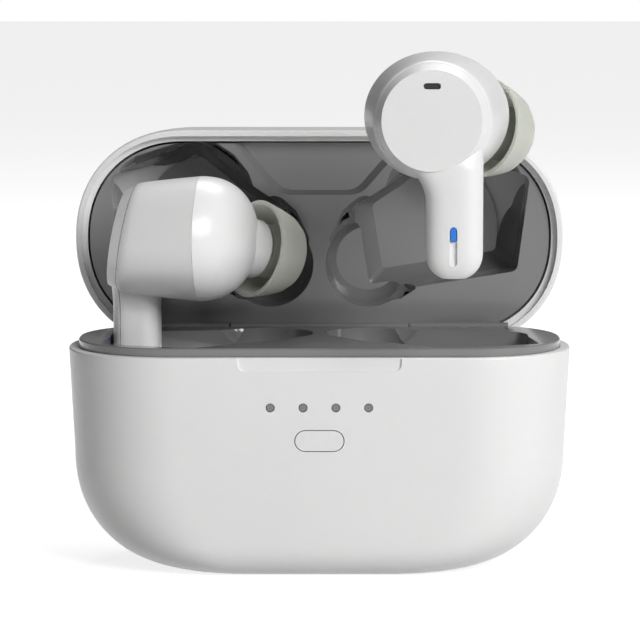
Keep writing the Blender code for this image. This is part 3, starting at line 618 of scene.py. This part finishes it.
def recess_tool():
    """The shallow dished panel in the middle of the liner's front."""
    about = (0.0, -10.5)
    corners = [(-12.4, -13.6, 0.6), (12.4, -13.6, 0.6), (5.6, -5.8, 3.4), (-5.6, -5.8, 3.4)]
    rings = [rounded(corners, z, 5, scale, about)
             for z, scale in ((LINER_Z - 1.0, 1.04), (LINER_Z, 1.0), (LINER_Z + RECESS_DEPTH, 0.88))]
    return loft(rings)


def closing_tools(side):
    """The space that a seated earbud sweeps in the lid while the lid comes down over it."""
    hinge = Matrix.Translation((0.0, HINGE_Y, HINGE_Z))
    tools = []
    for points in bud_envelope():
        poses = []
        for share in CLOSING_SHARES:
            turn = hinge @ Matrix.Rotation(LID_OPEN * (1.0 - share), 4, "X") @ hinge.inverted()
            pose = turn @ seat_matrix(side, LEFT_LIFT * (1.0 - share))
            poses.append([pose @ Vector((side * x, y, z)) for x, y, z in points])
        tools += [hull(early + late) for early, late in zip(poses, poses[1:])]
    return tools


def make_lid_liner():
    """The grey liner as it lies when closed: its plate, the earbuds' recesses and the middle knuckle."""
    plate = loft([
        lid_ring(RIM_Z, LINER_INSET, RIM_Z - LINER_Z),
        lid_ring(RIM_Z, LINER_INSET, RIM_Z - LINER_Z - LINER_PLATE),
    ])
    limits = lid_volume(LINER_INSET, WALL + 0.3, LINER_Z)
    tubs = []
    hollows = [recess_tool()]
    for side in (-1, 1):
        tubs += pocket_tools(side, LINER_Z + 0.3, HEAD_ROOF_Z + TUB_WALL, TIP_ROOF_Z + TUB_WALL, TUB_WALL)
        hollows += pocket_tools(side, LINER_Z, HEAD_ROOF_Z, TIP_ROOF_Z) + closing_tools(side)
    walls = combine(tubs[0], tubs[1:], "UNION")
    liner = combine(plate, [walls], "UNION")
    liner = combine(liner, [limits], "INTERSECT")
    hinge_room = rod(BARREL_R + 0.5, -NOTCH_X - 1, NOTCH_X + 1, "X", 48, (HINGE_Y, HINGE_Z))
    liner = combine(liner, hollows + [hinge_room])
    return combine(liner, [liner_knuckle()], "UNION")


def make_light_guide():
    """A bar behind the front wall with one prong in each light hole."""
    bar = block((-8.0, -12.6, LED_Z - 0.9), (8.0, -11.4, LED_Z + 0.9), 0.2)
    tip_y = -base_halves(LED_Z)[1] + 0.08
    prongs = [rod(LED_R, tip_y, -12.0, "Y", 32, (x, LED_Z)) for x in LED_XS]
    return combine(bar, prongs, "UNION")


def make_mode_button():
    """The button's cap and the wider flange that keeps it in the case."""
    front = -base_halves(BUTTON_Z)[1]
    cap = pill(BUTTON_HALF_X, BUTTON_HALF_Z, front, -11.9, 0.0, BUTTON_Z)
    flange = pill(BUTTON_HALF_X + 0.7, BUTTON_HALF_Z + 0.7, -12.7, -11.9, 0.0, BUTTON_Z)
    return combine(cap, [flange], "UNION")


def stem_ring(z):
    """A section of the stem, which leans back above the crease and widens towards the head."""
    up = min((z - STEM_BOTTOM_Z + 0.25) / STEM_ROUND, 1.0)
    shrink_x = STEM_ROUND * (1.0 - bulge(1.0 - up))
    shrink_y = 0.55 * shrink_x
    back = max(0.0, (z - CREASE_Z) * FACE_LEAN) + STEM_BACK_OFF
    flare = NECK_FLARE * (max(0.0, z - NECK_START_Z) / (CREASE_Z - NECK_START_Z)) ** NECK_CURVE
    centre = (STEM_X - flare / 2, STEM_Y + back)
    return oval(STEM_HALF_X - shrink_x + flare / 2, STEM_HALF_Y - shrink_y, z, 72, 3.0, centre)


def bud_solid():
    """The head in front of the dome's seam, joined to the stem, before it is split and hollowed."""
    depths = (0.0, BEVEL_DEPTH, 1.8, 2.6, 3.6, 4.6, 5.8, 7.0, 8.4, 9.8, SEAM_Y - SEAM_GAP)
    head = loft([head_ring(depth) for depth in depths])
    rises = (0.0, 0.05, 0.15, 0.3, 0.5, 0.75, 1.05, 1.4, 1.8, 2.3, 2.8, 3.2)
    heights = [STEM_BOTTOM_Z + rise for rise in rises]
    heights += [NECK_START_Z + (CREASE_Z - NECK_START_Z) * step / 12 for step in range(13)]
    stem = loft([stem_ring(z) for z in heights + [-4.6, -3.5]])
    return combine(head, [stem], "UNION")


def front_slab(thickness):
    """The space in front of the surface that parts the face cover from the housing."""
    y = -1.0 + thickness
    top = y + (12.0 - CREASE_Z) * FACE_LEAN
    points = [(-6.0, -25.0), (y, -25.0), (y, CREASE_Z), (top, 12.0), (-6.0, 12.0)]
    return loft([[(x, py, pz) for py, pz in points] for x in (-14.0, 14.0)])


def make_face_cover():
    """The thin front of the earbud, with its microphone slot, light hole and groove."""
    face_y = MIC_Z * FACE_LEAN
    mic_slot = pill(1.08, 0.38, face_y - 2.0, face_y + 3.0, 0.0, MIC_Z)
    groove = pill(2.4, 0.46, -2.0, -0.55, STEM_X, GROOVE_Z, upright=True)
    light_hole = pill(0.95, 0.43, -2.0, 1.5, STEM_X, LIGHT_Z, upright=True)
    cover = combine(bud_solid(), [front_slab(SPLIT)], "INTERSECT")
    return combine(cover, [mic_slot, groove, light_hole])


def make_bud_housing():
    """The outer half of the head with the stem, hollow, with holes for the two charging contacts."""
    hollow = loft([head_ring(d, SHELL) for d in (0.3, 1.75, 6.0, SEAM_Y + 0.5)])
    channel = [oval(2.45, 2.25, z, 24, 3.0, (STEM_X, 1.75)) for z in (STEM_BOTTOM_Z + 1.5, -3.0)]
    places = [(STEM_X + shift, CONTACT_Y) for shift in (-PIN_OFFSET, PIN_OFFSET)]
    contacts = [rod(0.6, -22.0, -17.0, "Z", 12, place) for place in places]
    return combine(bud_solid(), [front_slab(SPLIT + COVER_GAP), hollow, loft(channel)] + contacts)


def make_bud_dome():
    """The rounded inner half of the head, hollow, with the nozzle and its bore."""
    reach = DOME_END_Y - SEAM_Y - 0.1
    depths = [SEAM_Y + SEAM_GAP + reach * math.sin(0.5 * math.pi * k / 22) for k in range(23)]
    outer = loft([head_ring(depth) for depth in depths])
    inner = loft([head_ring(d, SHELL) for d in (SEAM_Y - 0.5, 12.8, 15.0, 16.7)])
    spout = [(3.9, 6.0), (3.9, 8.7), (3.5, 9.1), (2.6, 9.1), (2.6, 13.2), (2.35, 13.4)]
    spout = moved(turned(spout, 24), nozzle_matrix())
    bore = moved(turned([(1.75, 3.0), (1.75, 14.5)], 20), nozzle_matrix())
    return combine(combine(combine(outer, [inner]), [spout], "UNION"), [bore])


def make_ear_tip():
    """A soft mushroom: an inner sleeve over the nozzle and a skirt that turns back from its nose."""
    profile = [
        (2.75, TIP_START + 0.8), (2.75, 13.8), (2.1, 13.95), (2.2, TIP_END + 0.1), (3.3, TIP_END),
        (4.5, 13.95), (5.3, 12.8), (5.85, 11.2), (TIP_R, TIP_START), (TIP_R - 0.55, TIP_START),
        (5.0, 11.4), (4.4, 12.6), (3.6, 13.0), (3.45, TIP_START + 0.8),
    ]
    return turned(profile, 80, closed=True)


def mirrored(mesh, hand):
    """The mesh itself for the right earbud, and its mirror image for the left one."""
    if hand < 0:
        bmesh.ops.scale(mesh, vec=(-1, 1, 1), verts=mesh.verts)
        bmesh.ops.reverse_faces(mesh, faces=mesh.faces)
    return mesh


def make_mic_mesh():
    """The dark mesh behind the microphone slot."""
    y = MIC_Z * FACE_LEAN + 0.4
    return pill(0.98, 0.28, y, y + 0.45, 0.0, MIC_Z)


# ---------------------------------------------------------------- materials


def shader(name, **values):
    """A material with one Principled shader. Returns the material, its nodes, links and the shader."""
    made = bpy.data.materials.new(name)
    made.use_nodes = True
    nodes = made.node_tree.nodes
    principled = nodes["Principled BSDF"]
    for key, value in values.items():
        principled.inputs[key.replace("_", " ")].default_value = value
    return made, nodes, made.node_tree.links, principled


def place_noise(nodes, links, scale, detail=4.0, stretch=(1.0, 1.0, 1.0)):
    """Noise in the object's own metres."""
    where = nodes.new("ShaderNodeTexCoord")
    mapping = nodes.new("ShaderNodeMapping")
    mapping.inputs["Scale"].default_value = stretch
    noise = nodes.new("ShaderNodeTexNoise")
    noise.inputs["Scale"].default_value = scale
    noise.inputs["Detail"].default_value = detail
    links.new(where.outputs["Object"], mapping.inputs["Vector"])
    links.new(mapping.outputs["Vector"], noise.inputs["Vector"])
    return noise


def vary(nodes, links, noise, low, high, target):
    """Maps noise to a range of values on a shader's socket."""
    ranged = nodes.new("ShaderNodeMapRange")
    ranged.inputs["From Min"].default_value = 0.3
    ranged.inputs["From Max"].default_value = 0.7
    ranged.inputs["To Min"].default_value = low
    ranged.inputs["To Max"].default_value = high
    links.new(noise.outputs["Fac"], ranged.inputs["Value"])
    links.new(ranged.outputs["Result"], target)


def tint(nodes, links, noise, low, high, target):
    """Mixes two close colours by noise."""
    mix = nodes.new("ShaderNodeMix")
    mix.data_type = "RGBA"
    mix.inputs["A"].default_value = (*low, 1.0)
    mix.inputs["B"].default_value = (*high, 1.0)
    links.new(noise.outputs["Fac"], mix.inputs["Factor"])
    links.new(mix.outputs["Result"], target)


def grain(nodes, links, noise, strength, distance, principled):
    """Fine moulded surface grain."""
    bump = nodes.new("ShaderNodeBump")
    bump.inputs["Strength"].default_value = strength
    bump.inputs["Distance"].default_value = distance
    links.new(noise.outputs["Fac"], bump.inputs["Height"])
    links.new(bump.outputs["Normal"], principled.inputs["Normal"])


def moulded(name, low, high, rough, grain_strength, **values):
    """Moulded plastic: close tints, uneven gloss and a fine grain."""
    made, nodes, links, principled = shader(name, **values)
    broad = place_noise(nodes, links, 60.0, 2.0)
    tint(nodes, links, broad, low, high, principled.inputs["Base Color"])
    gloss = place_noise(nodes, links, 900.0)
    vary(nodes, links, gloss, rough[0], rough[1], principled.inputs["Roughness"])
    grain(nodes, links, place_noise(nodes, links, 5200.0, 2.0), grain_strength, 0.00003, principled)
    return made


def brushed(name, low, high, rough, stretch):
    """Drawn or plated metal with fine lines."""
    made, nodes, links, principled = shader(name, Metallic=1.0)
    lines = place_noise(nodes, links, 900.0, 5.0, stretch)
    tint(nodes, links, lines, low, high, principled.inputs["Base Color"])
    vary(nodes, links, lines, rough[0], rough[1], principled.inputs["Roughness"])
    grain(nodes, links, lines, 0.15, 0.00002, principled)
    return made


def perforated(name, pitch):
    """Woven or punched fine mesh: round dark holes on a square grid."""
    made, nodes, links, principled = shader(name, Metallic=0.8, Roughness=0.4)
    where = nodes.new("ShaderNodeTexCoord")
    cells = nodes.new("ShaderNodeTexVoronoi")
    cells.inputs["Scale"].default_value = 1.0 / pitch
    cells.inputs["Randomness"].default_value = 0.0
    links.new(where.outputs["Object"], cells.inputs["Vector"])
    ramp = nodes.new("ShaderNodeValToRGB")
    ramp.color_ramp.elements[0].position = 0.28
    ramp.color_ramp.elements[0].color = (0.01, 0.01, 0.01, 1.0)
    ramp.color_ramp.elements[1].position = 0.4
    ramp.color_ramp.elements[1].color = (0.45, 0.45, 0.45, 1.0)
    links.new(cells.outputs["Distance"], ramp.inputs["Fac"])
    links.new(ramp.outputs["Color"], principled.inputs["Base Color"])
    return made


def glowing(name, colour, strength):
    """A lens lit from behind."""
    made, nodes, links, principled = shader(name, Roughness=0.25)
    noise = place_noise(nodes, links, 1500.0)
    lighter = tuple(min(1.0, channel * 1.3 + 0.01) for channel in colour)
    tint(nodes, links, noise, colour, lighter, principled.inputs["Base Color"])
    principled.inputs["Emission Color"].default_value = (*colour, 1.0)
    principled.inputs["Emission Strength"].default_value = strength
    return made


def make_finishes():
    """One material for each material slot of the record."""
    return {
        "white_plastic": moulded("white_satin_plastic", (0.80, 0.80, 0.80), (0.84, 0.84, 0.835),
                                 (0.30, 0.38), 0.12, Coat_Weight=0.12, Coat_Roughness=0.2,
                                 Subsurface_Weight=0.06, Subsurface_Scale=0.001),
        "grey_plastic": moulded("grey_gloss_plastic", (0.188, 0.188, 0.188), (0.212, 0.212, 0.212),
                                (0.15, 0.22), 0.05, Coat_Weight=0.3, Coat_Roughness=0.08),
        "dark_plastic": moulded("dark_plastic", (0.018, 0.018, 0.02), (0.03, 0.03, 0.032),
                                (0.4, 0.55), 0.2),
        "steel": brushed("brushed_steel", (0.5, 0.5, 0.5), (0.66, 0.66, 0.66),
                         (0.22, 0.38), (1.0, 12.0, 12.0)),
        "gold": brushed("gold_plate", (0.83, 0.6, 0.26), (0.95, 0.74, 0.36),
                        (0.15, 0.28), (6.0, 6.0, 1.0)),
        "board": moulded("solder_mask", (0.012, 0.11, 0.045), (0.02, 0.17, 0.07), (0.3, 0.5), 0.3),
        "silicone": moulded("soft_silicone", (0.56, 0.58, 0.50), (0.61, 0.63, 0.55), (0.42, 0.52), 0.1,
                            Subsurface_Weight=0.6, Subsurface_Scale=0.004,
                            Subsurface_Radius=(1.0, 1.0, 1.0), Sheen_Weight=0.15),
        "light_pipe": moulded("light_pipe", (0.20, 0.20, 0.20), (0.25, 0.25, 0.25), (0.25, 0.35), 0.1),
        "blue_light": glowing("blue_light", (0.005, 0.11, 0.42), 0.6),
        "mesh": perforated("fine_mesh", 0.00022),
    }


# ---------------------------------------------------------------- pieces

FINISHES = make_finishes()
HINGE_FRAME = Matrix.Translation((0.0, HINGE_Y, HINGE_Z)) @ Matrix.Rotation(-LID_OPEN, 4, "X")
SMOOTH_UNDER = math.radians(28)
BEVEL_OVER = math.radians(38)
GREY_EDGE = 0.12  # bevel that gives the grey mouldings their thin bright edges


def earbud_frame(hand):
    """Where an earbud stands at rest: the left one raised in its pocket, the right one held in front."""
    if hand < 0:
        return seat_matrix(-1, LEFT_LIFT)
    return Matrix.Translation(FLOAT_AT) @ Matrix.Rotation(FLOAT_TURN, 4, "Z")


def add_piece(name, mesh, finish, body, nodes, place=None, edge=0.0):
    """Turns a mesh in millimetres into a piece that rides on a body and stands for CAD nodes."""
    if place:
        moved(mesh, place)
    bmesh.ops.scale(mesh, vec=(MM, MM, MM), verts=mesh.verts)
    bmesh.ops.recalc_face_normals(mesh, faces=mesh.faces)
    data = bpy.data.meshes.new(name)
    mesh.to_mesh(data)
    mesh.free()
    data.materials.append(FINISHES[finish])
    data.shade_smooth()
    data.set_sharp_from_angle(angle=SMOOTH_UNDER)
    piece = bpy.data.objects.new(name, data)
    bpy.context.scene.collection.objects.link(piece)
    if edge:
        bevel = piece.modifiers.new("Edge", "BEVEL")
        bevel.width = edge * MM
        bevel.segments = 2
        bevel.limit_method = "ANGLE"
        bevel.angle_limit = BEVEL_OVER
        bevel.harden_normals = True
    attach(piece, body)
    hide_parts(*nodes)
    return piece


def finish_cad_nodes():
    """Gives every node that still shows the procedural finish of its material slot."""
    slots = {entry["node"]: entry["material_slot"] for entry in frame["record"]["subparts"]}
    for name, thing in frame["nodes"].items():
        thing.data.materials.clear()
        thing.data.materials.append(FINISHES[slots[name]])
        thing.data.shade_smooth()
        thing.data.set_sharp_from_angle(angle=SMOOTH_UNDER)


def add_case():
    """The case's pieces that need finer surfaces than the CAD nodes have."""
    add_piece("fine_base_shell", make_base_shell(), "white_plastic", "case", ["base_shell"])
    add_piece("fine_base_tray", make_base_tray(), "grey_plastic", "case", ["base_tray"], None, GREY_EDGE)
    add_piece("fine_light_guide", make_light_guide(), "light_pipe", "case", ["led_light_guide"])
    add_piece("fine_mode_button", make_mode_button(), "white_plastic", "mode_button", ["mode_button"])
    shell = from_hinge(make_lid_shell())
    add_piece("fine_lid_shell", shell, "white_plastic", "lid", ["lid_shell"], HINGE_FRAME)
    liner = from_hinge(make_lid_liner())
    add_piece("fine_lid_liner", liner, "grey_plastic", "lid", ["lid_liner"], HINGE_FRAME, GREY_EDGE)


def add_earbud(word, hand):
    """One earbud's visible pieces: hand is 1 for the right one and -1 for its mirror image."""
    place = earbud_frame(hand)
    bud = word + "_bud_"
    light = pill(0.85, 0.33, -0.95, 0.45, STEM_X, LIGHT_Z, upright=True)
    pieces = {
        "face_cover": (make_face_cover(), "white_plastic"),
        "housing": (make_bud_housing(), "white_plastic"),
        "dome": (make_bud_dome(), "white_plastic"),
        "mic_mesh": (make_mic_mesh(), "dark_plastic"),
        "status_light": (light, "blue_light"),
        "nozzle_mesh": (moved(turned([(1.6, 12.4), (1.6, 12.9)], 48), nozzle_matrix()), "mesh"),
    }
    for name, (mesh, finish) in pieces.items():
        mesh = mirrored(mesh, hand)
        add_piece("fine_" + bud + name, mesh, finish, word + "_earbud", [bud + name], place)
    tip = mirrored(moved(make_ear_tip(), nozzle_matrix()), hand)
    add_piece("fine_" + word + "_ear_tip", tip, "silicone", word + "_ear_tip", [word + "_ear_tip"], place)


# ---------------------------------------------------------------- floor, light and camera

CAMERA_DISTANCE = 0.430
CAMERA_PITCH = math.radians(6.6)
CAMERA_LENS = 183.3
CAMERA_AIM = Vector((0.00007, 0.0, 0.03205))
CAMERA_SENSOR = 36.0  # mm
CAMERA_CLIP = 0.01

FLOOR_HALF = 3.0
FLOOR_GREY = 0.5
FLOOR_GLOW = 0.78  # keeps the floor as pale as the backdrop
FLOOR_STEP = 0.0001  # how far the plane that bounces light lies below the one that is seen
SKY_LEFT = 1.1
SKY_RIGHT = 4.3
SKY_FULL_AT = 0.4  # sideways share of a direction from which the sky has its full strength


def add_plane(name, place_z, grey, glow):
    """One large plain plane of the studio floor."""
    data = bpy.data.meshes.new(name)
    mesh = bmesh.new()
    bmesh.ops.create_grid(mesh, x_segments=1, y_segments=1, size=FLOOR_HALF)
    mesh.to_mesh(data)
    mesh.free()
    plane = bpy.data.objects.new(name, data)
    bpy.context.scene.collection.objects.link(plane)
    plane.location.z = place_z
    made, _, _, principled = shader(name + "_paint", Roughness=0.9)
    principled.inputs["Base Color"].default_value = (grey, grey, grey, 1.0)
    principled.inputs["Emission Color"].default_value = (1.0, 1.0, 1.0, 1.0)
    principled.inputs["Emission Strength"].default_value = glow
    plane.data.materials.append(made)
    return plane


def add_floor():
    """A glowing floor that is seen, and a plain one just below it that sends light back up."""
    seen = add_plane("floor", 0.0, FLOOR_GREY, FLOOR_GLOW)
    seen.visible_diffuse = False
    seen.visible_shadow = False
    under = add_plane("floor_bounce", -FLOOR_STEP, FLOOR_GREY, 0.0)
    under.visible_camera = False


def add_light(name, place, size, power, aim=(0.0, 0.0, 0.03)):
    """A soft rectangular lamp that points at the object."""
    data = bpy.data.lights.new(name, "AREA")
    data.shape = "RECTANGLE"
    data.size = size[0]
    data.size_y = size[1]
    data.energy = power
    light = bpy.data.objects.new(name, data)
    bpy.context.scene.collection.objects.link(light)
    light.location = place
    light.rotation_euler = (Vector(aim) - Vector(place)).to_track_quat("-Z", "Y").to_euler()


def add_sky():
    """Light from all round, brighter from the right, behind a backdrop that stays plain white."""
    world = bpy.data.worlds.new("studio")
    bpy.context.scene.world = world
    world.use_nodes = True
    nodes = world.node_tree.nodes
    links = world.node_tree.links
    sky = nodes["Background"]
    backdrop = nodes.new("ShaderNodeBackground")
    backdrop.inputs["Color"].default_value = (1.0, 1.0, 1.0, 1.0)
    backdrop.inputs["Strength"].default_value = 1.0
    direction = nodes.new("ShaderNodeTexCoord")
    split = nodes.new("ShaderNodeSeparateXYZ")
    level = nodes.new("ShaderNodeMapRange")
    level.inputs["From Min"].default_value = -1.0
    level.inputs["From Max"].default_value = SKY_FULL_AT
    level.inputs["To Min"].default_value = SKY_LEFT
    level.inputs["To Max"].default_value = SKY_RIGHT
    seen = nodes.new("ShaderNodeLightPath")
    mix = nodes.new("ShaderNodeMixShader")
    links.new(direction.outputs["Generated"], split.inputs["Vector"])
    links.new(split.outputs["X"], level.inputs["Value"])
    links.new(level.outputs["Result"], sky.inputs["Strength"])
    links.new(seen.outputs["Is Camera Ray"], mix.inputs["Fac"])
    links.new(sky.outputs["Background"], mix.inputs[1])
    links.new(backdrop.outputs["Background"], mix.inputs[2])
    links.new(mix.outputs["Shader"], nodes["World Output"].inputs["Surface"])


def add_studio():
    """The sky, a soft key lamp from the front right and a weak one from behind."""
    add_sky()
    bpy.context.scene.view_settings.view_transform = "Standard"
    add_light("key", (0.35, -0.50, 0.35), (0.30, 0.30), 3.8)
    add_light("rim", (0.1, 0.35, 0.55), (0.40, 0.20), 1.6)


def add_camera():
    """The photograph's viewpoint: a long lens a little above the case, straight in front."""
    data = bpy.data.cameras.new("camera")
    data.lens = CAMERA_LENS
    data.sensor_width = CAMERA_SENSOR
    data.clip_start = CAMERA_CLIP
    camera = bpy.data.objects.new("camera", data)
    bpy.context.scene.collection.objects.link(camera)
    away = Vector((0.0, -math.cos(CAMERA_PITCH), math.sin(CAMERA_PITCH)))
    camera.location = CAMERA_AIM + away * CAMERA_DISTANCE
    camera.rotation_euler = (-away).to_track_quat("-Z", "Y").to_euler()
    bpy.context.scene.camera = camera


add_camera()
finish_cad_nodes()
add_case()
add_earbud("left", -1)
add_earbud("right", 1)
add_floor()
add_studio()
